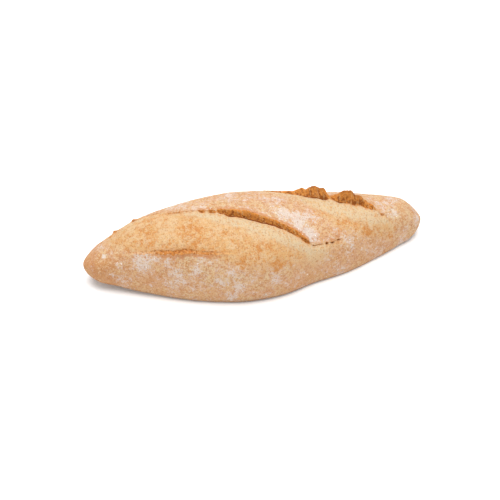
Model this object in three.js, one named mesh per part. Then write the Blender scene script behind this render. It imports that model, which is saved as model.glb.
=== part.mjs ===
// A short baguette as it comes from the oven: one closed solid of crust and crumb.
//
// Millimetres. +X runs along the loaf to its blunter nose, +Y to the side that the ears stand on, +Z is up.
// The origin is on the surface that the loaf lies on, under the middle of its box.

import * as THREE from 'three';

// ---- Driving dimensions ----

const LENGTH = 235;

// The loaf's outline at eleven places from the sharp nose to the blunt one. `at` is a share of the length.
// `bow` is how far the middle of the section lies to +Y, `crest` is its top and `lift` is its underside.
const STATIONS = [
  { at: 0.0, halfWidth: 9, bow: 7, crest: 19, lift: 12 },
  { at: 0.06, halfWidth: 13.7, bow: 7, crest: 27, lift: 9 },
  { at: 0.16, halfWidth: 23.9, bow: 6.4, crest: 38.5, lift: 4 },
  { at: 0.28, halfWidth: 33.1, bow: 3.1, crest: 45.5, lift: 0.5 },
  { at: 0.42, halfWidth: 40.1, bow: 0.3, crest: 48, lift: 0 },
  { at: 0.54, halfWidth: 39.2, bow: 0.4, crest: 45.4, lift: 0 },
  { at: 0.64, halfWidth: 33.8, bow: 2.7, crest: 40.8, lift: 0 },
  { at: 0.74, halfWidth: 29.4, bow: 4, crest: 37.4, lift: 0 },
  { at: 0.84, halfWidth: 21.7, bow: 5.9, crest: 33.8, lift: 1.2 },
  { at: 0.94, halfWidth: 13.9, bow: 8.9, crest: 26.8, lift: 4.2 },
  { at: 1.0, halfWidth: 8.5, bow: 8, crest: 17.5, lift: 7.5 },
];

const NOSE_SHARE = 0.055; // share of the length over which each nose rounds off
const WIDEST_SHARE = 0.42; // height of the widest point, as a share of the section's height
const TOP_FULLNESS = 2.15; // superellipse exponent of the vault
const FLANK_FULLNESS = 4.5; // superellipse exponent below the widest point
const SETTLE = 5; // how far the dough would reach below the oven floor, which makes the flat underside

// The blade's cuts, seen from above. Each opened lip runs from `from` to `to` and bows towards +Y.
// `side` is 1 where the raised ear is on the +Y side of the opening, and -1 where it is on the other side.
const CUTS = [
  { from: [-104, 13.2], to: [-60, 16.5], bow: 6, side: 1, ear: 1.2, groove: 0.7 },
  { from: [-91, -5.9], to: [-20, -31], bow: -1.9, side: -1, ear: 1.2, groove: 1.1 },
  { from: [-67, 14.5], to: [31, -26], bow: 5.8, side: 1, ear: 2, groove: 2 },
  { from: [18, 26.2], to: [53, 12.8], bow: 0.5, side: 1, ear: 3.6, groove: 2 },
  { from: [50, 14.1], to: [90, -6], bow: 0.7, side: 1, ear: 3.6, groove: 1.8 },
];

const EAR_FADE = 9; // distance over which a raised ear sinks back into the crust
const GROOVE_WIDTH = 5; // distance over which the groove under an ear fills up again
const TORN_FACE = 1.3; // half the plan width of the steep torn face between the groove and the ear
const CUT_TAPER = 0.16; // share of a cut's length over which its ends close
const CUT_LOWEST = 8; // height below which no cut reaches

// Facets: rings along the loaf, and points round each ring, closer together at the cuts.
const RINGS = 76;
const RING_POINTS = 42;
const ARC_SAMPLES = 360;
const CUT_CROWDING = 2.5;
const CROWDING_WIDTH = 5;

const CRUST_COLOUR = 0xdba878;
const CRUST_ROUGHNESS = 0.8;

// ---- The outline along the loaf ----

// Cubic through the stations' values, with each slope taken from the neighbours on both sides.
function alongLoaf(share, key) {
  const last = STATIONS.length - 2;
  let i = 0;
  while (i < last && share > STATIONS[i + 1].at) i += 1;
  const slope = (k) => {
    const before = STATIONS[Math.max(k - 1, 0)];
    const after = STATIONS[Math.min(k + 1, STATIONS.length - 1)];
    return (after[key] - before[key]) / (after.at - before.at);
  };
  const start = STATIONS[i];
  const end = STATIONS[i + 1];
  const gap = end.at - start.at;
  const t = (share - start.at) / gap;
  const ease = t * t * (3 - 2 * t);
  const rise = t * (1 - t) * (1 - t) * gap * slope(i);
  const fall = t * t * (1 - t) * gap * slope(i + 1);
  return start[key] + (end[key] - start[key]) * ease + rise - fall;
}

function noseRounding(share) {
  const fromEnd = Math.min(share, 1 - share) / NOSE_SHARE;
  return fromEnd >= 1 ? 1 : Math.sqrt(1 - (1 - fromEnd) ** 2);
}

function sectionAt(share) {
  const crest = alongLoaf(share, 'crest');
  const lift = alongLoaf(share, 'lift');
  const middle = lift + WIDEST_SHARE * (crest - lift);
  const closing = noseRounding(share);
  return {
    x: (share - 0.5) * LENGTH,
    y: alongLoaf(share, 'bow'),
    z: middle,
    halfWidth: alongLoaf(share, 'halfWidth') * closing,
    above: (crest - middle) * closing,
    below: (middle - lift + SETTLE) * closing,
  };
}

// A point of the section at an angle from +Y, through the crest at a quarter turn.
function pointOn(section, angle) {
  const across = Math.cos(angle);
  const up = Math.sin(angle);
  const power = 2 / (up > 0 ? TOP_FULLNESS : FLANK_FULLNESS);
  const y = section.y + section.halfWidth * Math.sign(across) * Math.abs(across) ** power;
  const reach = up > 0 ? section.above : section.below;
  const z = section.z + reach * Math.sign(up) * Math.abs(up) ** power;
  return new THREE.Vector3(section.x, y, Math.max(z, 0));
}

// ---- The cuts ----

function cutLine(cut, x) {
  const t = (x - cut.from[0]) / (cut.to[0] - cut.from[0]);
  const straight = THREE.MathUtils.lerp(cut.from[1], cut.to[1], t);
  return { t, y: straight + cut.bow * 4 * t * (1 - t) };
}

// How wide open the cut is at a place along it, from 0 at its ends to 1.
function opening(t) {
  const fromEnd = Math.min(t, 1 - t) / CUT_TAPER;
  return THREE.MathUtils.smoothstep(fromEnd, 0, 1);
}

// Signed distance over the crust from a cut's lip, positive on the ear's side.
function distanceFromLip(cut, section, point) {
  const slant = Math.atan2(cut.to[1] - cut.from[1], cut.to[0] - cut.from[0]);
  const sideways = point.y - cutLine(cut, section.x).y;
  const tilt = (point.y - section.y) / Math.max(section.halfWidth, 1);
  const stretch = 1 / Math.sqrt(Math.max(1 - tilt * tilt, 0.15));
  return cut.side * sideways * stretch * Math.cos(slant);
}

function cutHeight(section, point) {
  let height = 0;
  for (const cut of CUTS) {
    const { t } = cutLine(cut, section.x);
    if (t <= 0 || t >= 1 || point.z < CUT_LOWEST) continue;
    const distance = distanceFromLip(cut, section, point);
    const onEar = THREE.MathUtils.smoothstep(distance, -TORN_FACE, TORN_FACE);
    const ear = cut.ear * onEar * Math.exp(-Math.max(distance, 0) / EAR_FADE);
    const groove = cut.groove * (1 - onEar) * Math.exp(Math.min(distance, 0) / GROOVE_WIDTH);
    height += (ear - groove) * opening(t);
  }
  return height;
}

// ---- The mesh ----

// Angles round a ring, equally spaced over the crust and crowded together near the cuts.
function ringAngles(section) {
  const bottom = -Math.PI / 2;
  const samples = [];
  let travelled = 0;
  let before = pointOn(section, bottom);
  for (let i = 0; i <= ARC_SAMPLES; i += 1) {
    const angle = bottom + (2 * Math.PI * i) / ARC_SAMPLES;
    const point = pointOn(section, angle);
    let weight = 1;
    for (const cut of CUTS) {
      const { t } = cutLine(cut, section.x);
      if (t <= 0 || t >= 1 || point.z < CUT_LOWEST) continue;
      const near = distanceFromLip(cut, section, point) / CROWDING_WIDTH;
      weight += CUT_CROWDING * opening(t) * Math.exp(-near * near);
    }
    travelled += weight * point.distanceTo(before);
    samples.push({ angle, travelled });
    before = point;
  }
  const angles = [];
  let i = 0;
  for (let k = 0; k < RING_POINTS; k += 1) {
    const wanted = (travelled * k) / RING_POINTS;
    while (samples[i + 1].travelled < wanted) i += 1;
    const span = samples[i + 1].travelled - samples[i].travelled;
    const t = span > 0 ? (wanted - samples[i].travelled) / span : 0;
    angles.push(THREE.MathUtils.lerp(samples[i].angle, samples[i + 1].angle, t));
  }
  return angles;
}

function crustPoint(share, angle) {
  const step = 0.002;
  const section = sectionAt(share);
  const point = pointOn(section, angle);
  const along = pointOn(sectionAt(Math.min(share + step, 1)), angle)
    .sub(pointOn(sectionAt(Math.max(share - step, 0)), angle));
  const around = pointOn(section, angle + step).sub(pointOn(section, angle - step));
  const outward = along.cross(around).normalize().negate();
  return point.addScaledVector(outward, cutHeight(section, point));
}

function makeLoafGeometry() {
  const positions = [];
  const triangles = [];

  // Rings stand closer together at the noses, where the loaf closes quickly.
  for (let ring = 1; ring < RINGS; ring += 1) {
    const even = ring / RINGS;
    const share = 0.55 * even + 0.45 * (0.5 - 0.5 * Math.cos(Math.PI * even));
    for (const angle of ringAngles(sectionAt(share))) {
      positions.push(...crustPoint(share, angle).toArray());
    }
  }
  const sharpTip = positions.length / 3;
  const bluntTip = sharpTip + 1;
  for (const share of [0, 1]) {
    const section = sectionAt(share);
    positions.push(section.x, section.y, section.z);
  }

  for (let k = 0; k < RING_POINTS; k += 1) {
    const next = (k + 1) % RING_POINTS;
    for (let ring = 0; ring < RINGS - 2; ring += 1) {
      const here = ring * RING_POINTS;
      const ahead = here + RING_POINTS;
      triangles.push(here + k, ahead + next, ahead + k);
      triangles.push(here + k, here + next, ahead + next);
    }
    const lastRing = (RINGS - 2) * RING_POINTS;
    triangles.push(sharpTip, next, k);
    triangles.push(bluntTip, lastRing + k, lastRing + next);
  }

  const geometry = new THREE.BufferGeometry();
  geometry.setAttribute('position', new THREE.Float32BufferAttribute(positions, 3));
  geometry.setIndex(triangles);
  geometry.computeVertexNormals();
  return geometry;
}

function makeLoaf() {
  const crust = new THREE.MeshStandardMaterial({
    color: CRUST_COLOUR,
    roughness: CRUST_ROUGHNESS,
    metalness: 0,
  });
  const loaf = new THREE.Mesh(makeLoafGeometry(), crust);
  loaf.name = 'loaf';
  return loaf;
}

const baguette = new THREE.Group();
baguette.name = 'baguette';
baguette.add(makeLoaf());

export default baguette;
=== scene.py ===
"""Builds the look of a short baguette round its packed construction model.

The crust is one surface: a lofted body with the baker's cuts opened in it, and a Geometry Nodes relief
over it. Flour and torn crumbs are scattered on it by Geometry Nodes too. The shape functions work in
millimetres, as a maker's drawing does, and a mesh turns to metres when it is made.
"""

import math

import bpy
import numpy as np
from bpy.props import FloatProperty, FloatVectorProperty, IntProperty, PointerProperty
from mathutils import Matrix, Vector


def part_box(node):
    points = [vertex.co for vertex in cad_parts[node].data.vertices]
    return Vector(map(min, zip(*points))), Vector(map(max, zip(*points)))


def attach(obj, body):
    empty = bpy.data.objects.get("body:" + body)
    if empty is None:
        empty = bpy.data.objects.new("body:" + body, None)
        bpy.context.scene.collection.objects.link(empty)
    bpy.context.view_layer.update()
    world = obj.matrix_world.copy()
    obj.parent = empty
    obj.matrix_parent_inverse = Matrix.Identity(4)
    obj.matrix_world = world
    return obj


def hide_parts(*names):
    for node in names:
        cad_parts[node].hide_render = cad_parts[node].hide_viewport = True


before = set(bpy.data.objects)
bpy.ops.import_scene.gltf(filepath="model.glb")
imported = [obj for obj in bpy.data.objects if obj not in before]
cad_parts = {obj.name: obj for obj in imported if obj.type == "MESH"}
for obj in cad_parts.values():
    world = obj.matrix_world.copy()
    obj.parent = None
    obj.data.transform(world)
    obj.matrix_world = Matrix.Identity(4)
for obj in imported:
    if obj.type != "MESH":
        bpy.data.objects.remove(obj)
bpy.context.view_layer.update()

bl_info = {
    "name": "Short Baguette",
    "version": (1, 0, 0),
    "blender": (4, 5, 0),
    "location": "3D View > Sidebar > Bakery",
    "description": "Shapes, bakes and dusts a short slashed baguette",
    "category": "Object",
}

MM = 0.001
NODE = "loaf"
BODY = "root"
CRUST = "baguette_crust"
LOAF_LOW, LOAF_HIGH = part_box(NODE)
LOAF_LENGTH = LOAF_HIGH.x - LOAF_LOW.x

# ---- The loaf's outline and cuts, as on the construction drawing, in millimetres ----

OUTLINE_LENGTH = 235.0

# Each row: share of the length, half width, bow to +Y, crest height, lift of the underside.
OUTLINE = np.array([
    (0.00, 9.0, 7.0, 19.0, 12.0),
    (0.06, 13.7, 7.0, 27.0, 9.0),
    (0.16, 23.9, 6.4, 38.5, 4.0),
    (0.28, 33.1, 3.1, 45.5, 0.5),
    (0.42, 40.1, 0.3, 48.0, 0.0),
    (0.54, 39.2, 0.4, 45.4, 0.0),
    (0.64, 33.8, 2.7, 40.8, 0.0),
    (0.74, 29.4, 4.0, 37.4, 0.0),
    (0.84, 21.7, 5.9, 33.8, 1.2),
    (0.94, 13.9, 8.9, 26.8, 4.2),
    (1.00, 8.5, 8.0, 17.5, 7.5),
])
NOSE_SHARE = 0.055  # share of the length over which each nose rounds off
WIDEST_SHARE = 0.42  # height of the widest point, as a share of the section's height
TOP_FULLNESS = 2.15  # superellipse exponent of the vault
FLANK_FULLNESS = 4.5  # superellipse exponent below the widest point
SETTLE = 5.0  # how far the dough would reach below the oven floor, which makes the flat underside

# Each cut's lip, seen from above, runs from `start` to `end` and bows towards +Y. `side` is 1 where the ear
# is on the +Y side. `rise` is the ear's height and `depth` the groove's, both at shares of the cut's length.
# `face` is half the torn face's width in plan, `lean` how far the rim hangs over the groove, `fade` how far
# back the ear's swelling reaches, `rough` how unevenly the cut tore, and `bare` how torn its face looks.
CUTS = (
    {
        "start": (-104, 13.2), "end": (-60, 16.5), "bow": 6.0, "side": 1,
        "face": 1.0, "lean": 0.4, "fade": 3.5, "rough": 1.0, "bare": 0.65, "seed": 11,
        "rise": ((0.19, 0), (0.25, 1.4), (0.3, 0.2), (0.48, 0.1), (0.55, 1.4), (0.62, 0.3), (0.9, 0.4)),
        "depth": ((0.2, 0), (0.25, 0.4), (0.3, 0.1), (0.48, 0), (0.55, 0.3), (0.7, 0.4), (0.9, 0.4)),
    },
    {
        "start": (-91, -5.9), "end": (-20, -31), "bow": -1.9, "side": -1,
        "face": 1.9, "lean": 0.0, "fade": 3.5, "rough": 1.3, "bare": 0.74, "seed": 12,
        "rise": ((0.08, 0.5), (0.3, 0.8), (0.4, 1.7), (0.58, 1.8), (0.66, 0.9), (0.8, 1.0), (0.9, 0.5)),
        "depth": ((0.1, 0.2), (0.3, 0.3), (0.42, 0.6), (0.58, 0.6), (0.64, 0.1), (0.7, 0.4), (0.78, 0.2)),
    },
    {
        "start": (-67, 14.5), "end": (31, -26), "bow": 5.8, "side": 1,
        "face": 2.2, "lean": 1.4, "fade": 9.0, "rough": 0.6, "bare": 1.0, "seed": 13,
        "rise": ((0.15, 0.4), (0.4, 0.5), (0.45, 1.6), (0.5, 2.2), (0.7, 2.1), (0.85, 1.5), (0.96, 1.2)),
        "depth": ((0.12, 0.4), (0.28, 0.2), (0.31, 1.1), (0.34, 0.3), (0.38, 1.3), (0.405, 0.3),
                  (0.43, 1.4), (0.445, 1.0), (0.48, 2.7), (0.56, 2.5), (0.7, 2.0), (0.85, 1.1),
                  (0.96, 0.7)),
    },
    {
        "start": (2, 31), "end": (90, -6), "bow": 3.3, "side": 1,
        "face": 1.9, "lean": 0.8, "fade": 4.5, "rough": 1.6, "bare": 1.0, "seed": 14,
        "rise": ((0.15, 0.6), (0.32, 1.5), (0.36, 3.4), (0.4, 4.8), (0.45, 6.0), (0.5, 6.4),
                 (0.545, 6.4), (0.565, 2.4), (0.585, 0.8), (0.62, 2.4), (0.66, 6.0), (0.69, 9.0),
                 (0.72, 9.0), (0.76, 7.2), (0.8, 4.2), (0.88, 1.4), (0.92, 0.1)),
        "depth": ((0.2, 0.6), (0.32, 1.0), (0.42, 1.6), (0.54, 1.8), (0.575, 0.2), (0.59, 0.8),
                  (0.62, 1.6), (0.68, 1.0), (0.82, 0.6), (0.88, 0.5), (0.91, 0.1), (0.95, 1.2)),
    },
    {
        "start": (30.5, -26), "end": (53, -21), "bow": -0.5, "side": 1,
        "face": 0.5, "lean": 0.0, "fade": 2.0, "rough": 0.9, "bare": 1.0, "seed": 15,
        "rise": ((0.5, 0.2),),
        "depth": ((0.04, 0.9), (0.3, 0.5), (0.42, 0), (0.5, 1.8), (0.56, 0), (0.68, 1.8), (0.76, 0.1),
                  (0.86, 1.1)),
    },
)
LEFT_EAR, NEAR_LIP, MAIN_EAR, RIGHT_EAR, TAIL_CRACK = range(len(CUTS))

# Plan edges of what the cuts laid bare, as (x, y). An opened area lies between its lip and its near edge,
# and its palest strip between its lip and its pale edge. `blur` is how gently the near edge fades, by x.
OPENED_AREAS = (
    {
        "lip": LEFT_EAR, "from": -99, "to": -58,
        "near": ((-104, 8), (-98, 3.2), (-92, -1.4), (-83, -8.9), (-72, -15.1), (-58, -19.6)),
        "pale": None,
        "blur": ((-104, 2.0), (-95, 1.4), (-80, 1.0), (-58, 1.0)),
    },
    {
        "lip": MAIN_EAR, "from": -67, "to": 42,
        "near": ((-72, -15.1), (-58, -19.6), (-44, -24.6), (-35, -29), (-26.5, -33.5), (-14, -37),
                 (-1, -38.3), (13, -37), (24, -33.8), (35.5, -29.7), (42, -27.5)),
        "pale": ((-56, 9.3), (-44, 4.4), (-31, -6.4), (-16, -14.8), (-4, -22.2), (11, -28.5), (24, -30),
                 (36, -28)),
        "blur": ((-67, 1.0), (-32, 1.0), (-14, 2.6), (42, 3.0)),
    },
    {
        "lip": TAIL_CRACK, "from": 27, "to": 50,
        "near": ((20, -35), (35.5, -30.5), (45, -26.8), (52, -23.5)),
        "pale": ((27, -31), (38, -27.5), (48, -24.3)),
        "blur": ((27, 3.0), (50, 3.0)),
    },
    {
        "lip": RIGHT_EAR, "from": 2, "to": 98,
        "near": ((2, 30.3), (20, 20), (32, 11.4), (39, -0.4), (49, -13.3), (62, -18.2), (78, -15),
                 (91, -10.7), (98, -5.6)),
        "pale": ((8, 25.6), (22, 15.8), (34, 6), (49, -5), (65, -9.6), (78, -11.5), (91, -8.8)),
        "blur": ((2, 1.2), (40, 2.2), (98, 2.8)),
    },
)

# Where the flour lies thickest: x, y in plan, radius, strength.
FLOUR_PATCHES = (
    (-79, -14.6, 8, 0.9), (26, -13.7, 7, 1.0), (31, -19.6, 6, 1.2), (16, -4, 7, 0.9), (94, -1.6, 5, 0.8),
    (-104, 0.4, 2, 0.9), (-96, -8.4, 3, 0.8), (-60, -27, 8, 0.45), (-25, -39, 10, 0.35),
    (58, -20.5, 9, 0.35), (-16, 18, 12, 0.2), (-45, 22, 10, 0.2), (4, 31, 12, 0.2), (40, -28.7, 8, 0.4),
    (102, 10, 7, 0.3), (-71, 24, 8, 0.4), (68, 24, 9, 0.4), (-34, 10, 7, 0.35), (-46, -30, 6, 0.4),
    (8, -38.5, 8, 0.3),
)

# ---- How finely the crust is laid out ----

ALONG_RINGS = 408
RING_POINTS = 240
ARC_SAMPLES = 1440  # angles at which each ring's length is measured
SLOPE_STEP = 0.0015  # step in share and angle between which directions are taken
NOSE_CROWDING = 0.4  # how much closer together the rings stand at the noses
CUT_CROWDING = 5.0  # how much closer together the points stand at a cut
CROWDING_WIDTH = 3.2
CROWDING_END = 0.1  # share of a cut's length over which the crowding ends

# ---- How a cut opens, in millimetres ----

# Random curves, each as its height, wavelength and seed shift.
RAGGED_LIP = ((0.35, 6.0, 0), (0.45, 1.8, 20))
UNEVEN_RISE = ((0.14, 7.0, 40), (0.14, 2.6, 60))
POCKETS = ((0.25, 3.0, 80),)
CONTACT_GAP = 0.3  # height below which nothing stands out of the crust
CONTACT_HEIGHT = 3.0  # height below which no cut reaches
SHOWN_AT = 1.4  # rise and depth together from which a torn face shows fully
FULL_OPENING = 4.0  # rise and depth together from which it has its full width
CLOSED_FACE = 0.25  # share of its width that is left where the cut is closed
RIM_SHARE = 0.25  # share of an ear's height that belongs to its sharp rim
RIM_WIDTH = 1.5
HANG_FADE = 3.0  # how far behind the rim the crust still leans
GROOVE_WIDTH = 1.0
GROOVE_SPREAD = 0.6  # how much wider a groove is for each millimetre of depth
SWELLING_HEIGHT = 0.7  # how far the opened crust swelled
SWELLING_WIDTH = 5.0
SLANT = 0.9  # distance across an area's edge, for each millimetre round a ring
FAR_FROM_LIP = 99.0
FAR_OUTSIDE = 20.0

# Where the marks of a cut lie, measured from its torn face, and how widely each one fades.
TORN_SHIFT = 0.1  # share of the face by which its torn mark lies nearer the groove
TORN_BLUR = 0.5
RIM_MIDDLE = 1.1
RIM_BLUR = 1.5
HIGH_EAR = (2.5, 6.0)  # rises between which an ear gets its crown
CROWN_BLUR = 1.2
DEEP_GROOVE = (0.5, 1.4)  # depths between which painted shade darkens the foot of the face
FOOT_BLUR = 0.9
SHADE_BLUR = 2.4

# ---- Where the crust browned, and where shade is painted on its lower flank ----

SHARP_TOAST = (78, 112)  # distances from the middle over which the sharp nose browns
BLUNT_TOAST = (96, 116)
BLUNT_TOAST_SHARE = 0.2
PALE_TOP = (0.66, 0.92)  # upward slopes between which the sharp nose stays paler
PALE_TOP_STRENGTH = 1.2
LOW_SLOPE = (0.25, 0.75)  # downward slopes between which the crust turns into the browner underside and gets painted shade

# ---- Finish and stage ----

NOISE_SPREAD = 3.0  # brings noise about 0.5 to about -1 to 1
GRAIN_TILT = 0.3  # how far a grain tips out of the crust's plane, in radians
FULL_TURN = 6.28
FLAT_GRAIN = 0.4  # height of a clump of flour, as a share of its width
ROUND_GRAIN = 0.8
MATT = 0.9  # roughness of flour, crumbs and floor
SPECULAR_LEVEL = 0.2
SCATTER_COLOUR = (1.0, 0.45, 0.2)  # how far red, green and blue light travels in crumb
WHITE = (1.0, 1.0, 1.0, 1.0)
FRESH_FLOUR = (0.93, 0.88, 0.82)
FLOOR_GLOW = 0.08
WORLD_STRENGTH = 0.66
KEY_PLACE = (0.0, 0.05, 1.6)
KEY_SIZE = 1.7
KEY_POWER = 36.0
CAMERA_AIM = (-0.004, 0.005, 0.008)
SENSOR_WIDTH = 36.0
CLIP_END = 50.0


# ---- Curves ----

def smooth_curve(at, places, values):
    """A cubic through values at places, with each slope taken from the neighbours on both sides."""
    at = np.clip(at, places[0], places[-1])
    i = np.clip(np.searchsorted(places, at, side="right") - 1, 0, len(places) - 2)
    slopes = np.empty(len(values))
    slopes[1:-1] = (values[2:] - values[:-2]) / (places[2:] - places[:-2])
    slopes[0] = (values[1] - values[0]) / (places[1] - places[0])
    slopes[-1] = (values[-1] - values[-2]) / (places[-1] - places[-2])
    gap = places[i + 1] - places[i]
    t = (at - places[i]) / gap
    straight = values[i] + (values[i + 1] - values[i]) * t * t * (3 - 2 * t)
    return straight + t * (1 - t) ** 2 * gap * slopes[i] - t * t * (1 - t) * gap * slopes[i + 1]


def curve_through(at, pairs):
    places, values = np.array(pairs, float).T
    return smooth_curve(at, places, values)


def ramp(value, low, high):
    return np.clip((value - low) / (high - low), 0, 1)


def cut_profile(share, pairs):
    """A height along a cut, from 0 at its start to 0 at its end."""
    return np.maximum(curve_through(share, ((0, 0), *pairs, (1, 0))), 0)


def soft_step(value, low, high):
    t = ramp(value, low, high)
    return t * t * (3 - 2 * t)


def wander(at, wavelength, seed):
    """A smooth random curve between -1 and 1, for edges that tore by chance."""
    knots = np.arange(-OUTLINE_LENGTH, OUTLINE_LENGTH, wavelength)
    return smooth_curve(at, knots, np.random.default_rng(seed).uniform(-1, 1, len(knots)))


def wander_sum(at, waves, seed):
    """Adds up random curves, each given as its height, wavelength and seed shift."""
    return sum(height * wander(at, wavelength, seed + shift) for height, wavelength, shift in waves)


def bell(distance, width):
    """1 where the distance is 0, falling off over a width."""
    return np.exp(-(distance / width) ** 2)


def running_total(steps):
    """Adds up each row, from 0 before its first step."""
    return np.concatenate([np.zeros((len(steps), 1)), np.cumsum(steps, axis=1)], axis=1)


def direction(vectors):
    return vectors / np.maximum(np.linalg.norm(vectors, axis=-1, keepdims=True), 1e-9)


# ---- The plain body ----

def body_points(share, angle):
    """Points of the uncut loaf at shares of its length and angles from +Y through the crest."""
    half_width, bow, crest, lift = (smooth_curve(share, OUTLINE[:, 0], OUTLINE[:, k]) for k in (1, 2, 3, 4))
    from_end = np.clip(np.minimum(share, 1 - share) / NOSE_SHARE, 0, 1)
    closing = np.sqrt(1 - (1 - from_end) ** 2)
    middle = lift + WIDEST_SHARE * (crest - lift)
    across, up = np.cos(angle), np.sin(angle)
    power = 2 / np.where(up > 0, TOP_FULLNESS, FLANK_FULLNESS)
    reach = np.where(up > 0, crest - middle, middle - lift + SETTLE) * closing
    x = (share - 0.5) * OUTLINE_LENGTH + 0 * angle
    y = bow + half_width * closing * np.sign(across) * np.abs(across) ** power
    z = middle + reach * np.sign(up) * np.abs(up) ** power
    return np.stack([x, y, np.maximum(z, 0)], axis=-1)


class Rings:
    """Rings of points round the loaf, crowded at the cuts, and the distances that cuts are measured by."""

    def __init__(self):
        even = np.arange(1, ALONG_RINGS) / ALONG_RINGS
        self.share = (1 - NOSE_CROWDING) * even + NOSE_CROWDING * (0.5 - 0.5 * np.cos(np.pi * even))
        self.x = (self.share - 0.5) * OUTLINE_LENGTH
        self._sample()
        self._place()

    def _sample(self):
        self.turn = -0.5 * np.pi + 2 * np.pi * np.arange(ARC_SAMPLES + 1) / ARC_SAMPLES
        self.sampled = body_points(self.share[:, None], self.turn[None, :])
        self.travelled = running_total(np.linalg.norm(np.diff(self.sampled, axis=1), axis=-1))

    def arc_at(self, plan_y):
        """How far round each ring the upper crust passes the given y."""
        top = (self.turn > 0) & (self.turn < np.pi)
        y, arc = -self.sampled[:, top, 1], self.travelled[:, top]
        return np.array([np.interp(-want, row, far) for want, row, far in zip(plan_y, y, arc)])

    def _place(self):
        weight = np.ones_like(self.travelled)
        for cut in CUTS:
            t, lip = cut_line(cut, self.x)
            ends = soft_step(t, -CROWDING_END, CROWDING_END) * soft_step(1 - t, -CROWDING_END, CROWDING_END)
            near = bell(self.travelled - self.arc_at(lip)[:, None], CROWDING_WIDTH)
            weight += CUT_CROWDING * ends[:, None] * near
        crowded = running_total(0.5 * (weight[:, 1:] + weight[:, :-1]) * np.diff(self.travelled, axis=1))
        wanted = np.arange(RING_POINTS) / RING_POINTS
        self.angle = np.array([np.interp(wanted * row[-1], row, self.turn) for row in crowded])
        self.arc = np.array([np.interp(a, self.turn, row) for a, row in zip(self.angle, self.travelled)])


def cut_line(cut, x):
    """How far along a cut each x is, as a share, and the y of the lip there."""
    (x0, y0), (x1, y1) = cut["start"], cut["end"]
    t = (x - x0) / (x1 - x0)
    inside = np.clip(t, 0, 1)
    return t, y0 + (y1 - y0) * t + cut["bow"] * 4 * inside * (1 - inside)


# ---- The crust ----

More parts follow.
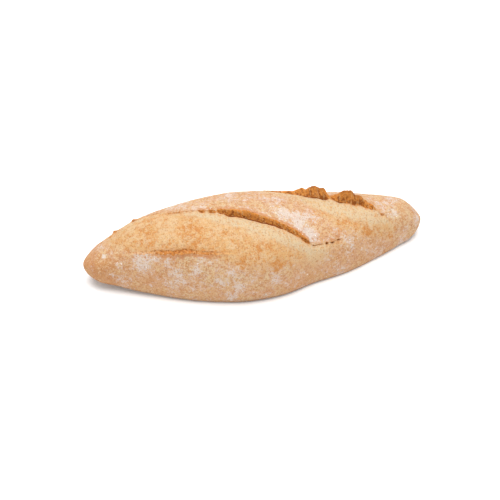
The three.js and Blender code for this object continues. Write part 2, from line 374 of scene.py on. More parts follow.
class Crust:
    """The loaf's skin with its cuts opened, and the marks that it is painted by.

    Torn, rim, crown, groove and shade go from 0 to 1: the torn face of a cut, the rim of its ear, the top
    of a high ear, the foot of the torn face, where painted shade darkens it, and the crust just before the
    face, which gets painted shade too. Across is the distance from the nearest lip, and opened and fresh are
    the distances inside an opened area and its palest strip. Dust is the flour, toast the browning of the
    noses, low the browner underside and the painted shade on the lower flank, and clear is 0 on the
    oven floor.
    """

    def __init__(self):
        self.rings = Rings()
        share, angle = self.rings.share[:, None], self.rings.angle
        step = SLOPE_STEP
        self.points = body_points(share, angle)
        self.forward = direction(body_points(share + step, angle) - body_points(share - step, angle))
        around = direction(body_points(share, angle + step) - body_points(share, angle - step))
        self.outward = direction(np.cross(around, self.forward))
        self.far_side = -around
        self.vault = (angle > 0) & (angle < np.pi)
        self.height = np.zeros_like(angle)
        self.slide = np.zeros_like(self.points)
        self.marks = {name: np.zeros_like(angle) for name in ("torn", "rim", "crown", "groove", "shade")}
        self.marks["across"] = np.full_like(angle, FAR_FROM_LIP)
        self.marks["clear"] = soft_step(self.points[..., 2], CONTACT_GAP, CONTACT_HEIGHT)
        for cut in CUTS:
            self._open(cut)
        self._mark_opened()
        self._mark_finish()

    def _open(self, cut):
        x, seed, rough = self.rings.x, cut["seed"], cut["rough"]
        t, lip = cut_line(cut, x)
        slope = np.gradient(lip, x)[:, None]
        level = 1 / np.sqrt(1 + slope ** 2)
        ragged = rough * wander_sum(x, RAGGED_LIP, seed)
        across = cut["side"] * (self.rings.arc_at(lip)[:, None] - self.rings.arc) * level + ragged[:, None]
        uneven = 1 + rough * wander_sum(x, UNEVEN_RISE, seed)
        pockets = 1 + wander_sum(x, POCKETS, seed)
        rise = (cut_profile(t, cut["rise"]) * uneven)[:, None]
        depth = (cut_profile(t, cut["depth"]) * pockets)[:, None]
        opening = ramp(rise + depth, 0, FULL_OPENING)
        face = cut["face"] * (CLOSED_FACE + (1 - CLOSED_FACE) * opening)
        on_ear = soft_step(across, -face, face)
        behind = np.maximum(across - face, 0)
        before = np.maximum(-across - face, 0)
        upper = (self.points[..., 2] > CONTACT_HEIGHT) & self.vault
        swelling = (1 - RIM_SHARE) * np.exp(-behind / cut["fade"]) + RIM_SHARE * np.exp(-behind / RIM_WIDTH)
        groove = depth * (1 - on_ear) * np.exp(-before / (GROOVE_WIDTH + GROOVE_SPREAD * depth))
        self.height += np.where(upper, rise * on_ear * swelling - groove, 0)
        to_ear = direction(cut["side"] * (self.far_side - slope[..., None] * self.forward))
        hang = cut["lean"] * opening * on_ear * np.exp(-behind / HANG_FADE)
        self.slide -= np.where(upper, hang, 0)[..., None] * to_ear
        self._mark_cut(cut["bare"], across, rise, depth, face, upper)
        nearer = np.abs(across) < np.abs(self.marks["across"])
        in_reach = (t[:, None] > 0) & (t[:, None] < 1)
        self.marks["across"] = np.where(nearer & in_reach & upper, across, self.marks["across"])

    def _mark_cut(self, bare, across, rise, depth, face, upper):
        shown = np.where(upper, ramp(rise + depth, 0, SHOWN_AT), 0)
        past_face = np.maximum(np.abs(across + TORN_SHIFT * face) - face, 0)
        self._mark("torn", bare * shown * bell(past_face, TORN_BLUR))
        self._mark("rim", shown * bell(across - face - RIM_MIDDLE, RIM_BLUR))
        self._mark("crown", ramp(rise, *HIGH_EAR) * bell(across - face, CROWN_BLUR) * upper)
        # Groove is where painted shade darkens the foot of the torn face.
        self._mark("groove", ramp(depth, *DEEP_GROOVE) * shown * bell(across + face, FOOT_BLUR))
        # Shade is painted shade on the crust just before the torn face.
        self._mark("shade", shown * bell(np.minimum(across + face, 0), SHADE_BLUR) * (across < face))

    def _mark(self, name, values):
        self.marks[name] = np.maximum(self.marks[name], values)

    def _between(self, far_arc, near_arc, first, last, blur):
        """Distance inside the strip between two arcs of each ring, and outside it below zero."""
        arc, x = self.rings.arc, self.rings.x[:, None]
        inside = np.minimum(arc - far_arc[:, None], (near_arc[:, None] - arc) / blur[:, None]) * SLANT
        return np.minimum(inside, np.minimum(x - first, last - x))

    def _mark_opened(self):
        x = self.rings.x
        opened = np.full_like(self.rings.arc, -FAR_OUTSIDE)
        fresh = np.full_like(self.rings.arc, -FAR_OUTSIDE)
        for area in OPENED_AREAS:
            lip_arc = self.rings.arc_at(cut_line(CUTS[area["lip"]], x)[1])
            near_arc = self.rings.arc_at(curve_through(x, area["near"]))
            blur = curve_through(x, area["blur"])
            opened = np.maximum(opened, self._between(lip_arc, near_arc, area["from"], area["to"], blur))
            if area["pale"]:
                pale_arc = self.rings.arc_at(curve_through(x, area["pale"]))
                first, last = area["pale"][0][0], area["pale"][-1][0]
                fresh = np.maximum(fresh, self._between(lip_arc, pale_arc, first, last, np.ones_like(x)))
        self.marks["opened"] = np.clip(opened, -FAR_OUTSIDE, FAR_OUTSIDE)
        self.marks["fresh"] = np.clip(fresh, -FAR_OUTSIDE, FAR_OUTSIDE)
        self.height += SWELLING_HEIGHT * (1 - np.exp(-np.maximum(opened, 0) / SWELLING_WIDTH))

    def _mark_finish(self):
        x, y = self.points[..., 0], self.points[..., 1]
        dust = np.zeros_like(x)
        for px, py, radius, strength in FLOUR_PATCHES:
            from_patch = np.where(self.vault, (x - px) ** 2 + (y - py) ** 2, np.inf)
            middle = self.points.reshape(-1, 3)[np.argmin(from_patch)]
            near = np.sum((self.points - middle) ** 2, axis=-1) / radius ** 2
            dust = np.maximum(dust, strength * np.exp(-near))
        self.marks["dust"] = dust
        paler = PALE_TOP_STRENGTH * soft_step(self.outward[..., 2], *PALE_TOP)
        sharp = soft_step(-x, *SHARP_TOAST) * (1 - paler)
        self.marks["toast"] = np.maximum(sharp, BLUNT_TOAST_SHARE * soft_step(x, *BLUNT_TOAST))
        # Low: the browner underside, and painted shade on the lower flank.
        self.marks["low"] = soft_step(-self.outward[..., 2], *LOW_SLOPE)

    def mesh(self, scale):
        placed = self.points + self.outward * self.height[..., None] + self.slide
        placed[..., 2] = np.maximum(placed[..., 2], 0)
        tips = body_points(np.array([0.0, 1.0]), np.array([0.0, 0.0]))
        positions = np.concatenate([placed.reshape(-1, 3), tips]) * scale
        quads, sharp_fan, blunt_fan = self._faces()
        faces = [*quads.tolist(), *sharp_fan.tolist(), *blunt_fan.tolist()]
        mesh = bpy.data.meshes.new("crust")
        mesh.from_pydata(positions.tolist(), [], faces)
        mesh.polygons.foreach_set("use_smooth", np.ones(len(faces), bool))
        self._unwrap(mesh, placed)
        for name, values in self.marks.items():
            ends = [values[0].mean(), values[-1].mean()]
            self._store(mesh, name, np.concatenate([values.ravel(), ends]))
        self._store(mesh, "along", positions[:, 0] / scale)
        mesh.validate()
        mesh.update()
        return mesh

    def _store(self, mesh, name, values):
        layer = mesh.attributes.new(name, "FLOAT", "POINT")
        layer.data.foreach_set("value", values.astype(np.float32))

    def _faces(self):
        """Quads between the rings, and a fan of triangles that closes each nose."""
        rows, columns = self.rings.angle.shape
        grid = np.arange(rows * columns).reshape(rows, columns)
        beside = np.roll(grid, -1, axis=1)
        quads = np.stack([grid[:-1], beside[:-1], beside[1:], grid[1:]], axis=-1).reshape(-1, 4)
        sharp, blunt = rows * columns, rows * columns + 1
        first, last = grid[0], grid[-1]
        sharp_fan = np.stack([np.full(columns, sharp), np.roll(first, -1), first], axis=-1)
        blunt_fan = np.stack([np.full(columns, blunt), last, np.roll(last, -1)], axis=-1)
        return quads, sharp_fan, blunt_fan

    def _unwrap(self, mesh, placed):
        """Rolls the crust out flat: its length one way, its girth the other, with the seam underneath."""
        closed = np.concatenate([placed, placed[:, :1]], axis=1)
        girth = running_total(np.linalg.norm(np.diff(closed, axis=1), axis=-1))
        girth /= girth[:, -1:]
        flat = np.stack([np.broadcast_to(self.rings.share[:, None], girth.shape), girth], axis=-1)
        here, beside = flat[:, :-1], flat[:, 1:]
        corners = [np.stack([here[:-1], beside[:-1], beside[1:], here[1:]], axis=2).reshape(-1, 2)]
        for second, third, end in ((beside[0], here[0], 0.0), (here[-1], beside[-1], 1.0)):
            tips = np.stack([np.full(len(here[0]), end), 0.5 * (second[:, 1] + third[:, 1])], axis=-1)
            corners.append(np.stack([tips, second, third], axis=1).reshape(-1, 2))
        layer = mesh.uv_layers.new(name="OFBake")
        layer.data.foreach_set("uv", np.concatenate(corners).ravel().astype(np.float32))


# ---- Nodes ----

class Value:
    """A node's output that does arithmetic: each operator adds a Math node."""

    def __init__(self, graph, socket):
        self.graph = graph
        self.socket = socket

    def _math(self, operation, *terms):
        return self.graph.add("ShaderNodeMath", {"operation": operation}, dict(enumerate(terms)))

    def __add__(self, other):
        return self._math("ADD", self, other)

    def __sub__(self, other):
        return self._math("SUBTRACT", self, other)

    def __rsub__(self, other):
        return self._math("SUBTRACT", other, self)

    def __mul__(self, other):
        return self._math("MULTIPLY", self, other)

    def __rtruediv__(self, other):
        return self._math("DIVIDE", other, self)

    __radd__ = __add__
    __rmul__ = __mul__


class Graph:
    """A node tree, shader or geometry, that is written as expressions."""

    def __init__(self, tree):
        self.tree = tree

    def add(self, kind, settings=None, sockets=None, output=0):
        """Adds a node, sets its settings, then fills its sockets.

        Gives one output, or all of them by name if output is None.
        """
        node = self.tree.nodes.new(kind)
        for name, setting in (settings or {}).items():
            setattr(node, name, setting)
        for name, given in (sockets or {}).items():
            if isinstance(given, Value):
                self.tree.links.new(given.socket, node.inputs[name])
            else:
                node.inputs[name].default_value = given
        if output is None:
            return {socket.name: Value(self, socket) for socket in node.outputs if socket.name}
        return Value(self, node.outputs[output]) if node.outputs else None

    def step(self, value, low, high):
        """0 below low, 1 above high, and smooth between."""
        settings = {"interpolation_type": "SMOOTHSTEP"}
        return self.add("ShaderNodeMapRange", settings, {0: value, 1: low, 2: high, 3: 0.0, 4: 1.0})

    def blend(self, first, second, share):
        settings = {"data_type": "RGBA", "clamp_factor": True}
        return self.add("ShaderNodeMix", settings, {0: share, 6: first, 7: second}, output=2)

    def noise(self, place, size, detail=2.0, roughness=0.5, seed=0.0):
        """Cloudy noise about 0.5, with lumps about `size` across in the units of `place`."""
        sockets = {"Vector": place, "W": seed, "Scale": 1 / size, "Detail": detail, "Roughness": roughness}
        return self.add("ShaderNodeTexNoise", {"noise_dimensions": "4D"}, sockets)

    def object_place(self):
        return self.add("ShaderNodeTexCoord", {}, {}, output="Object")

    def scaled(self, vector, factor):
        return self.add("ShaderNodeVectorMath", {"operation": "SCALE"}, {0: vector, "Scale": factor})

    def bump(self, strength, distance, height):
        sockets = {"Strength": strength, "Distance": distance, "Height": height}
        return self.add("ShaderNodeBump", {}, sockets)

    def cells(self, place, size):
        """Distance from the nearest of points strewn about `size` apart, in sizes."""
        return self.add("ShaderNodeTexVoronoi", {"feature": "F1"}, {"Vector": place, "Scale": 1 / size})


def around_zero(noise, spread):
    return (noise - 0.5) * spread


def srgb(code):
    """A colour from its usual six-figure code, as the linear values that shaders use."""
    parts = [int(code[k:k + 2], 16) / 255 for k in (0, 2, 4)]
    return tuple(p / 12.92 if p <= 0.04045 else ((p + 0.055) / 1.055) ** 2.4 for p in parts)


def opaque(colour):
    return (*colour, 1.0)


def new_material(name):
    material = bpy.data.materials.new(name)
    material.use_nodes = True
    material.node_tree.nodes.clear()
    return material, Graph(material.node_tree)


def finish_material(graph, colour, roughness, normal, subsurface=0.0, depth=MM, glow=0.0):
    """Feeds a Principled shader. What is the same all over is set on the shader's own sockets."""
    sockets = {
        "Base Color": colour, "Roughness": roughness, "Normal": normal,
        "Subsurface Weight": subsurface, "Subsurface Radius": SCATTER_COLOUR, "Subsurface Scale": depth,
        "Specular IOR Level": SPECULAR_LEVEL, "Emission Color": WHITE, "Emission Strength": glow,
    }
    shader = graph.add("ShaderNodeBsdfPrincipled", {}, sockets)
    graph.add("ShaderNodeOutputMaterial", {}, {"Surface": shader})


# ---- Settings ----

def length(name, description, default):
    return FloatProperty(name=name, description=description, default=default, min=0.0,
                         subtype="DISTANCE", unit="LENGTH")


def angle(name, description, degrees):
    return FloatProperty(name=name, description=description, default=math.radians(degrees),
                         subtype="ANGLE", unit="ROTATION")


def number(name, description, default):
    return FloatProperty(name=name, description=description, default=default, min=0.0)


def seed_number(description, default):
    return IntProperty(name="Seed", description=description, default=default)


def colour(name, description, code):
    return FloatVectorProperty(name=name, description=description, default=srgb(code), size=3, min=0, max=1,
                               subtype="COLOR")


class CrustSettings(bpy.types.PropertyGroup):
    length: length("Length", "Length of the loaf from nose to nose", LOAF_LENGTH)
    lump_size: length("Lump Size", "Distance between the broad unevennesses of the dough", 26 * MM)
    lump_height: length("Lump Height", "Height of the broad unevennesses of the dough", 0.5 * MM)
    wrinkle_size: length("Wrinkle Size", "Distance between the small wrinkles of the skin", 4.5 * MM)
    wrinkle_height: length("Wrinkle Height", "Height of the small wrinkles of the skin", 0.22 * MM)
    blister_size: length("Blister Size", "Width of the blisters where the cuts opened", 3.4 * MM)
    blister_height: length("Blister Height", "Height of the blisters where the cuts opened", 0.3 * MM)
    tear_size: length("Tear Size", "Distance between the torn ridges under the ears", 2.4 * MM)
    tear_height: length("Tear Height", "Height of the torn ridges under the ears", 0.42 * MM)
    seed: seed_number("Chooses another loaf of the same batch", 5)


class ColourSettings(bpy.types.PropertyGroup):
    skin: colour("Skin", "Baked skin of the dough", "C59B74")
    skin_pale: colour("Pale Skin", "Skin that the oven browned least", "CAAF8A")
    skin_brown: colour("Browned Skin", "Skin where the oven caught it", "B27849")
    flour: colour("Flour", "Flour left on the skin", "CDC5BE")
    golden: colour("Golden", "Opened crust, baked golden", "C69B68")
    golden_pale: colour("Pale Golden", "Opened crust that the oven browned less", "CCB08A")
    golden_brown: colour("Golden Brown", "Opened crust where the oven caught it", "B9793B")
    cream: colour("Cream", "Palest opened crust, next to an ear", "C6B190")
    pepper: colour("Pepper", "Small dark freckles all over the crust", "9B6134")
    rim: colour("Rim", "Browned rim of an ear", "B98156")
    # Torn also colours the painted shade on the crust just before a torn face.
    torn: colour("Torn", "Torn face under an ear", "CA833A")
    # Painted shade for the gaps and the foot of a torn face, also the browned top of a high ear.
    torn_shade_and_brown: colour("Torn Dark", "Deepest gaps of the torn face", "733301")
    # The browner underside, also laid over the lower flank as painted shade.
    base: colour("Underside", "Underside that lay on the oven floor", "815C3B")


class FlourSettings(bpy.types.PropertyGroup):
    grain: length("Grain", "Largest radius of a clump of flour", 0.42 * MM)
    density: number("Density", "Clumps for each square metre of floured skin", 200000.0)
    seed: seed_number("Moves the clumps", 3)


class CrumbSettings(bpy.types.PropertyGroup):
    grain: length("Crumb", "Largest radius of a torn crumb", 0.36 * MM)
    density: number("Density", "Crumbs for each square metre of torn face", 220000.0)
    seed: seed_number("Moves the crumbs", 8)


class StageSettings(bpy.types.PropertyGroup):
    azimuth: angle("Azimuth", "Angle that the camera stands round the loaf", -13)
    elevation: angle("Elevation", "Angle that the camera stands above the table", 41)
    distance: length("Distance", "Distance of the camera from the loaf", 1.05)
    focal_length: number("Focal Length", "Focal length of the lens in millimetres", 111.3)
    floor_size: length("Floor Size", "Side of the square floor", 6.0)
    floor: colour("Floor", "Pale floor", "FAFAFA")


# ---- Geometry Nodes ----

RELIEF_PARTS = ("Lump", "Wrinkle", "Blister", "Tear")
RELIEF_SIZES = [f"{part} {measure}" for part in RELIEF_PARTS for measure in ("Size", "Height")]


def new_tree(name, inputs):
    """A geometry tree with named inputs of (name, socket type, default) after its geometry."""
    tree = bpy.data.node_groups.new(name, "GeometryNodeTree")
    tree.interface.new_socket("Geometry", in_out="INPUT", socket_type="NodeSocketGeometry")
    for title, kind, default in inputs:
        socket = tree.interface.new_socket(title, in_out="INPUT", socket_type=kind)
        if default is not None:
            socket.default_value = default
    tree.interface.new_socket("Geometry", in_out="OUTPUT", socket_type="NodeSocketGeometry")
    graph = Graph(tree)
    return tree, graph, graph.add("NodeGroupInput", output=None)


def end_tree(graph, geometry, material):
    """Every tree ends as plain geometry with its material."""
    real = graph.add("GeometryNodeRealizeInstances", {}, {"Geometry": geometry})
    finished = graph.add("GeometryNodeSetMaterial", {}, {"Geometry": real, "Material": material})
    graph.add("NodeGroupOutput", {}, {"Geometry": finished})


def mark(graph, name):
    return graph.add("GeometryNodeInputNamedAttribute", {"data_type": "FLOAT"}, {"Name": name})


def relief_tree():
    """Raises the crust's lumps, wrinkles, blisters and torn ridges along its own normals."""
    inputs = [(title, "NodeSocketFloat", MM) for title in RELIEF_SIZES]
    inputs += [("Seed", "NodeSocketFloat", 0.0), ("Material", "NodeSocketMaterial", None)]
    tree, graph, given = new_tree("crust_relief", inputs)
    place = graph.add("GeometryNodeInputPosition")
    normal = graph.add("GeometryNodeInputNormal")
    seed = given["Seed"]

    def rough(size, detail, shift, at=place):
        return around_zero(graph.noise(at, size, detail, seed=seed + shift), NOISE_SPREAD)

    opened = graph.step(mark(graph, "opened") + rough(given["Blister Size"], 2.0, 1.5) * 1.2, -1.0, 2.0)
    torn = mark(graph, "torn")
    lumps = rough(given["Lump Size"], 1.5, 0.0) * given["Lump Height"]
    wrinkles = rough(given["Wrinkle Size"], 3.0, 3.0) * given["Wrinkle Height"] * (1 - opened * 0.5)
    bubble = graph.add("ShaderNodeTexVoronoi", {"feature": "SMOOTH_F1"},
                       {"Vector": place, "Scale": 1 / given["Blister Size"], "Smoothness": 0.6})
    blisters = (0.45 - bubble) * given["Blister Height"] * opened
    along = mark(graph, "along") * MM
    lane = graph.add("ShaderNodeCombineXYZ", {}, {0: along, 1: mark(graph, "across") * (0.6 * MM)})
    ridges = rough(given["Tear Size"], 2.0, 7.0, lane) + rough(given["Tear Size"] * 0.7, 2.0, 9.0)
    tears = ridges * given["Tear Height"] * torn
    total = (lumps + (wrinkles + blisters) * (1 - torn) + tears) * mark(graph, "clear")
    sockets = {"Geometry": given["Geometry"], "Offset": graph.scaled(normal, total)}
    moved = graph.add("GeometryNodeSetPosition", {}, sockets)
    end_tree(graph, moved, given["Material"])
    return tree


def scatter_tree(name, wanted, flatness):
    """Scatters small uneven grains where a mark of the crust is strong, standing a little out of it."""
    inputs = [
        ("Grain", "NodeSocketFloat", 0.001), ("Density", "NodeSocketFloat", 1000.0),
        ("Seed", "NodeSocketInt", 0), ("Material", "NodeSocketMaterial", None),
    ]
    tree, graph, given = new_tree(name, inputs)
    seed = given["Seed"]

    def random_vector(low, high, shift):
        sockets = {0: low, 1: high, "Seed": seed + shift}
        return graph.add("FunctionNodeRandomValue", {"data_type": "FLOAT_VECTOR"}, sockets)

    sockets = {"Mesh": given["Geometry"], "Density": given["Density"] * wanted(graph), "Seed": seed}
    points = graph.add("GeometryNodeDistributePointsOnFaces", {}, sockets, output=None)
    turn = random_vector((-GRAIN_TILT, -GRAIN_TILT, 0.0), (GRAIN_TILT, GRAIN_TILT, FULL_TURN), 1)
    turned = graph.add("FunctionNodeRotateRotation", {"rotation_space": "LOCAL"},
                       {"Rotation": points["Rotation"], "Rotate By": turn})
    uneven = random_vector((0.5, 0.5, flatness * 0.6), (1.3, 1.3, flatness * 1.3), 2)
    small_to_large = {2: 0.25, 3: 1.0, "Seed": seed + 3}
    size = graph.add("FunctionNodeRandomValue", {"data_type": "FLOAT"}, small_to_large, output=1)
    grain = graph.add("GeometryNodeMeshIcoSphere", {}, {"Radius": given["Grain"], "Subdivisions": 1})
    placed = graph.add("GeometryNodeInstanceOnPoints", {}, {
        "Points": points["Points"], "Instance": grain, "Rotation": turned,
        "Scale": graph.scaled(uneven, size * size),
    })
    end_tree(graph, placed, given["Material"])
    return tree


def grow(host, tree, settings, name):
    """Runs a tree over an object's mesh, and keeps the result as a plain mesh of a new object."""
    modifier = host.modifiers.new(tree.name, "NODES")
    modifier.node_group = tree
    for item in tree.interface.items_tree:
        if item.item_type == "SOCKET" and item.in_out == "INPUT" and item.name in settings:
            modifier[item.identifier] = settings[item.name]
    graph = bpy.context.evaluated_depsgraph_get()
    mesh = bpy.data.meshes.new_from_object(host.evaluated_get(graph), depsgraph=graph)
    host.modifiers.remove(modifier)
    mesh.name = name
    piece = bpy.data.objects.new(name, mesh)
    bpy.context.scene.collection.objects.link(piece)
    return piece


def hand_over(piece):
    """Rides a finished piece on the loaf's body."""
    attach(piece, BODY)


def scatter(name, wanted, flatness, sizes, material):
    """Scatters grains on the finished crust where they are wanted, as one piece."""
    tree = scatter_tree(f"{name}_scatter", wanted, flatness)
    settings = {"Grain": sizes.grain, "Density": sizes.density, "Seed": sizes.seed, "Material": material}
    hand_over(grow(bpy.data.objects[CRUST], tree, settings, name))


# ---- Materials ----

class CrustPaint(Graph):
    """Paints the crust in layers, by the marks on its mesh and by noises that all its layers share."""

    def __init__(self, tree, colours):
        super().__init__(tree)
        self.colours = colours
        self.place = self.object_place()
        self.broad = self.cloud(34, 2, seed=1)
        self.patchy = self.cloud(10, 5, 0.6, seed=2)
        self.mottle = self.cloud(3.0, 5, 0.7, seed=3)
        self.freckle = self.cloud(1.5, 4, 0.7, seed=4)
        self.speck = self.cloud(0.8, 3, 0.6, seed=5)
        self.streak = self.noise(self.drawn_out(1.0, 0.35), 1.5, 4, 0.65, seed=6)
        self.layers = self.noise(self.drawn_out(0.7, 1.0), 1.15, 4, 0.65, seed=10)

    def cloud(self, size, detail=3.0, roughness=0.55, seed=0.0):
        return self.noise(self.place, size * MM, detail, roughness, seed)

    def mark(self, name):
        return self.add("ShaderNodeAttribute", {"attribute_name": name}, {}, output="Fac")

    def drawn_out(self, along, across):
        """Coordinates that follow the cuts. The smaller a factor, the longer the lumps that way."""
        parts = {0: self.mark("along") * along, 1: self.mark("across") * across}
        return self.add("ShaderNodeCombineXYZ", {}, parts)

    def over(self, below, name, share):
        """Lays one of the set colours over a layer."""
        return self.blend(below, opaque(getattr(self.colours, name)), share)

    def opened(self):
        """How much each place is opened crust, with an uneven edge."""
        edge = self.mark("opened") + around_zero(self.patchy, 14.0) + around_zero(self.mottle, 9.0)
        return self.step(edge, -1.8, 1.8)

    def flour(self):
        """How thickly the film of flour covers the skin."""
        film = self.patchy * 0.35 + self.cloud(2.2, 6, 0.8, seed=7) * 0.35 + self.speck * 0.3
        return self.step(film + self.mark("dust") * 0.1 - self.mark("toast") * 0.03, 0.5, 0.58)

    def skin(self):
        """Skin from pale to tan, with brown specks and golden clouds."""
        baked = self.step(self.broad * 0.4 + self.patchy * 0.6, 0.42, 0.54)
        skin = self.over(opaque(self.colours.skin_pale), "skin", baked)
        brown = self.mottle * 0.25 + self.freckle * 0.4 + self.speck * 0.35 + self.mark("toast") * 0.05
        skin = self.over(skin, "skin_brown", self.step(brown, 0.46, 0.55) * 0.9)
        warm = self.cloud(6, 5, 0.7, seed=12) * 0.7 + self.freckle * 0.3
        return self.over(skin, "golden", self.step(warm, 0.48, 0.56) * 0.35)

    def bare_crust(self):
        """Opened crust: golden with brown and pale flecks, and cream in the strip that opened last."""
        fine = self.mottle * 0.25 + self.freckle * 0.35 + self.speck * 0.3
        catch = self.step(fine + around_zero(self.patchy, 0.4) + 0.05, 0.475, 0.545)
        golden = self.over(opaque(self.colours.golden), "golden_brown", catch * 0.9)
        pale = self.cloud(3.6, 5, 0.7, seed=8) * 0.6 + self.speck * 0.4 + around_zero(self.broad, 0.3)
        golden = self.over(golden, "golden_pale", self.step(pale, 0.49, 0.55) * 0.75)
        edge = self.mark("fresh") + around_zero(self.patchy, 12.0) + around_zero(self.streak, 6.0)
        fresh = self.step(edge, -3.0, 2.5)
        fibres = self.step(self.streak * 0.5 + self.freckle * 0.5, 0.4, 0.52)
        return self.over(golden, "cream", fresh * fibres * 0.9)

    def tear(self):
        """Torn crumb: orange layers with painted shade in their gaps, golden crumbs, and the deepest painted
        shade at the foot.
        """
        # Painted shade: the gaps between the torn layers darken, the more so towards the foot of the face.
        gap_shade = self.step(self.layers + self.mark("across") * 0.03, 0.42, 0.52)
        tear = self.over(opaque(self.colours.torn_shade_and_brown), "torn", (0.25 + gap_shade * 0.75) * self.mark("torn"))
        crumb = self.step(self.streak * 0.6 + self.freckle * 0.4, 0.52, 0.57)
        tear = self.over(tear, "golden", crumb * 0.7)
        # Painted shade at the foot of the torn face, where it meets the groove.
        foot_shade = self.step(self.mark("groove") + around_zero(self.layers, 1.6), 0.4, 0.8)
        return self.over(tear, "torn_shade_and_brown", foot_shade * 0.95)

    def colour(self, opened, flour):
        skin = self.over(self.skin(), "flour", flour * 0.75)
        surface = self.blend(skin, self.bare_crust(), opened)
        # Painted shade, in the torn colour, on the crust just before a torn face.
        surface = self.over(surface, "torn", self.mark("shade") * 0.35)
        rim = self.mark("rim") + around_zero(self.freckle, 2.4) + around_zero(self.mottle, 1.4)
        surface = self.over(surface, "rim", self.step(rim, 0.35, 0.9) * 0.85)
        torn = self.step(self.mark("torn") + around_zero(self.freckle, 1.6), 0.4, 0.75)
        surface = self.blend(surface, self.tear(), torn)
        crown = self.step(self.mark("crown") + around_zero(self.freckle, 1.6), 0.25, 0.8)
        surface = self.over(surface, "torn_shade_and_brown", crown * 0.45)
        # The browner underside, and painted shade on the lower flank.
        surface = self.over(surface, "base", self.mark("low") * 0.75)
        return self.over(surface, "pepper", self.step(self.cloud(1.0, 2, seed=11), 0.53, 0.66) * 0.55)

    def grit(self, opened):
        """Fine relief: grain and specks everywhere, and pores in the opened crust."""
        grain = self.cloud(0.5, 3, 0.6, seed=9) * (0.6 + 0.4 * self.mark("torn"))
        pores = self.step(self.cells(self.place, 1.3 * MM), 0.35, 0.1) * opened
        height = grain + self.speck * 0.8 + self.freckle * 1.2 - pores * 0.7
        return self.bump(0.8, 0.5 * MM, height)


def crust_material(colours):
    material, graph = new_material("baked_crust")
    paint = CrustPaint(graph.tree, colours)
    opened, flour = paint.opened(), paint.flour()
    roughness = 0.6 + flour * (1 - opened) * 0.25 + paint.mark("torn") * 0.1
    surface = paint.colour(opened, flour)
    finish_material(graph, surface, roughness, paint.grit(opened), subsurface=0.12, depth=1.6 * MM)
    return material


def grain_material(name, first, second):
    """A matt grain whose shade changes from clump to clump."""
    material, graph = new_material(name)
    place = graph.object_place()
    from_clump = graph.step(graph.noise(place, 1.4 * MM, 2), 0.35, 0.65)
    shade = graph.blend(opaque(first), opaque(second), from_clump)
    grit = graph.noise(place, 0.12 * MM, 2)
    finish_material(graph, shade, MATT, graph.bump(0.4, 0.05 * MM, grit))
    return material


def floor_material(tint):
    material, graph = new_material("studio_floor")
    grit = graph.noise(graph.object_place(), 2 * MM, 2)
    finish_material(graph, opaque(tint), MATT, graph.bump(0.02, 0.1 * MM, grit), glow=FLOOR_GLOW)
    return material


# ---- Operators ----

class BAKERY_OT_bake_crust(bpy.types.Operator):
    """Shapes the loaf's crust, opens its cuts and gives it its baked finish"""

    bl_idname = "bakery.bake_crust"
    bl_label = "Bake Crust"

    def execute(self, context):
        sizes = context.scene.baguette_crust
        mesh = Crust().mesh(sizes.length / OUTLINE_LENGTH)
        host = bpy.data.objects.new("crust_host", mesh)
        context.scene.collection.objects.link(host)
        settings = {title: getattr(sizes, title.lower().replace(" ", "_")) for title in RELIEF_SIZES}
        settings["Seed"] = float(sizes.seed)
        settings["Material"] = crust_material(context.scene.baguette_colours)
        piece = grow(host, relief_tree(), settings, CRUST)
        bpy.data.objects.remove(host)
        hand_over(piece)
        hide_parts(NODE)
        return {"FINISHED"}


class BAKERY_OT_dust_flour(bpy.types.Operator):
    """Scatters the clumps of flour that stand on the skin"""

    bl_idname = "bakery.dust_flour"
    bl_label = "Dust Flour"

    def execute(self, context):
        def wanted(graph):
            place = graph.add("GeometryNodeInputPosition")
            cloudy = graph.noise(place, 9 * MM, 4, 0.6, 2.0)
            skin = graph.step(mark(graph, "opened"), 0.5, -1.5) * (1 - mark(graph, "torn"))
            amount = graph.step(mark(graph, "dust") * 0.6 + cloudy, 0.5, 0.95)
            return skin * amount * mark(graph, "clear")

        material = grain_material("flour", context.scene.baguette_colours.flour, FRESH_FLOUR)
        scatter("flour_grains", wanted, FLAT_GRAIN, context.scene.baguette_flour, material)
        return {"FINISHED"}


class BAKERY_OT_tear_crumbs(bpy.types.Operator):
    """Scatters the browned crumbs that stand out of the torn faces under the ears"""

    bl_idname = "bakery.tear_crumbs"
    bl_label = "Tear Crumbs"

    def execute(self, context):
        def wanted(graph):
            return graph.step(mark(graph, "torn"), 0.5, 0.95)

        colours = context.scene.baguette_colours
        material = grain_material("torn_crumb", colours.torn, colours.golden_brown)
        scatter("torn_crumbs", wanted, ROUND_GRAIN, context.scene.baguette_crumbs, material)
        return {"FINISHED"}


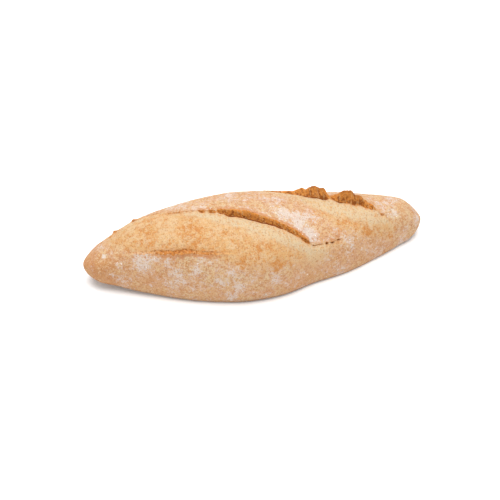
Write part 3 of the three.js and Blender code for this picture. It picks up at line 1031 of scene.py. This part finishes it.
class BAKERY_OT_set_stage(bpy.types.Operator):
    """Lays the pale floor, hangs the soft lights and stands the camera"""

    bl_idname = "bakery.set_stage"
    bl_label = "Set Stage"

    def execute(self, context):
        stage = context.scene.baguette_stage
        self._lay_floor(context, stage)
        self._light(context)
        self._stand_camera(context, stage)
        context.scene.view_settings.view_transform = "Standard"
        return {"FINISHED"}

    def _lay_floor(self, context, stage):
        half = stage.floor_size / 2
        mesh = bpy.data.meshes.new("floor")
        corners = [(-half, -half, 0), (half, -half, 0), (half, half, 0), (-half, half, 0)]
        mesh.from_pydata(corners, [], [(0, 1, 2, 3)])
        mesh.materials.append(floor_material(stage.floor))
        floor = bpy.data.objects.new("floor", mesh)
        context.scene.collection.objects.link(floor)

    def _light(self, context):
        world = bpy.data.worlds.new("studio")
        world.use_nodes = True
        background = world.node_tree.nodes["Background"]
        background.inputs["Color"].default_value = WHITE
        background.inputs["Strength"].default_value = WORLD_STRENGTH
        context.scene.world = world
        lamp = bpy.data.lights.new("key", "AREA")
        lamp.shape = "SQUARE"
        lamp.size = KEY_SIZE
        lamp.energy = KEY_POWER
        holder = bpy.data.objects.new("key", lamp)
        holder.location = KEY_PLACE
        holder.rotation_euler = (-Vector(KEY_PLACE)).to_track_quat("-Z", "Y").to_euler()
        context.scene.collection.objects.link(holder)

    def _stand_camera(self, context, stage):
        lens = bpy.data.cameras.new("camera")
        lens.lens = stage.focal_length
        lens.sensor_width = SENSOR_WIDTH
        lens.clip_end = CLIP_END
        camera = bpy.data.objects.new("camera", lens)
        level = math.cos(stage.elevation)
        east, south = math.sin(stage.azimuth) * level, -math.cos(stage.azimuth) * level
        back = Vector((east, south, math.sin(stage.elevation)))
        camera.location = Vector(CAMERA_AIM) + back * stage.distance
        camera.rotation_euler = back.to_track_quat("Z", "Y").to_euler()
        context.scene.collection.objects.link(camera)
        context.scene.camera = camera


class BAKERY_PT_baguette(bpy.types.Panel):
    """Lists the steps that make the baguette and their settings"""

    bl_idname = "BAKERY_PT_baguette"
    bl_label = "Short Baguette"
    bl_space_type = "VIEW_3D"
    bl_region_type = "UI"
    bl_category = "Bakery"

    def draw(self, context):
        for operator, group in STEPS:
            box = self.layout.box()
            box.operator(operator.bl_idname)
            settings = getattr(context.scene, group)
            for name in settings.__annotations__:
                box.prop(settings, name)
        box = self.layout.box()
        for name in context.scene.baguette_colours.__annotations__:
            box.prop(context.scene.baguette_colours, name)


STEPS = (
    (BAKERY_OT_bake_crust, "baguette_crust"),
    (BAKERY_OT_dust_flour, "baguette_flour"),
    (BAKERY_OT_tear_crumbs, "baguette_crumbs"),
    (BAKERY_OT_set_stage, "baguette_stage"),
)
SETTINGS = {
    "baguette_crust": CrustSettings,
    "baguette_colours": ColourSettings,
    "baguette_flour": FlourSettings,
    "baguette_crumbs": CrumbSettings,
    "baguette_stage": StageSettings,
}
CLASSES = (*SETTINGS.values(), *(operator for operator, _ in STEPS), BAKERY_PT_baguette)


def register():
    for item in CLASSES:
        bpy.utils.register_class(item)
    for name, group in SETTINGS.items():
        setattr(bpy.types.Scene, name, PointerProperty(type=group))


def unregister():
    for name in SETTINGS:
        delattr(bpy.types.Scene, name)
    for item in reversed(CLASSES):
        bpy.utils.unregister_class(item)


def main():
    register()
    bpy.ops.bakery.bake_crust()
    bpy.ops.bakery.dust_flour()
    bpy.ops.bakery.tear_crumbs()
    bpy.ops.bakery.set_stage()


if __name__ == "__main__":
    main()
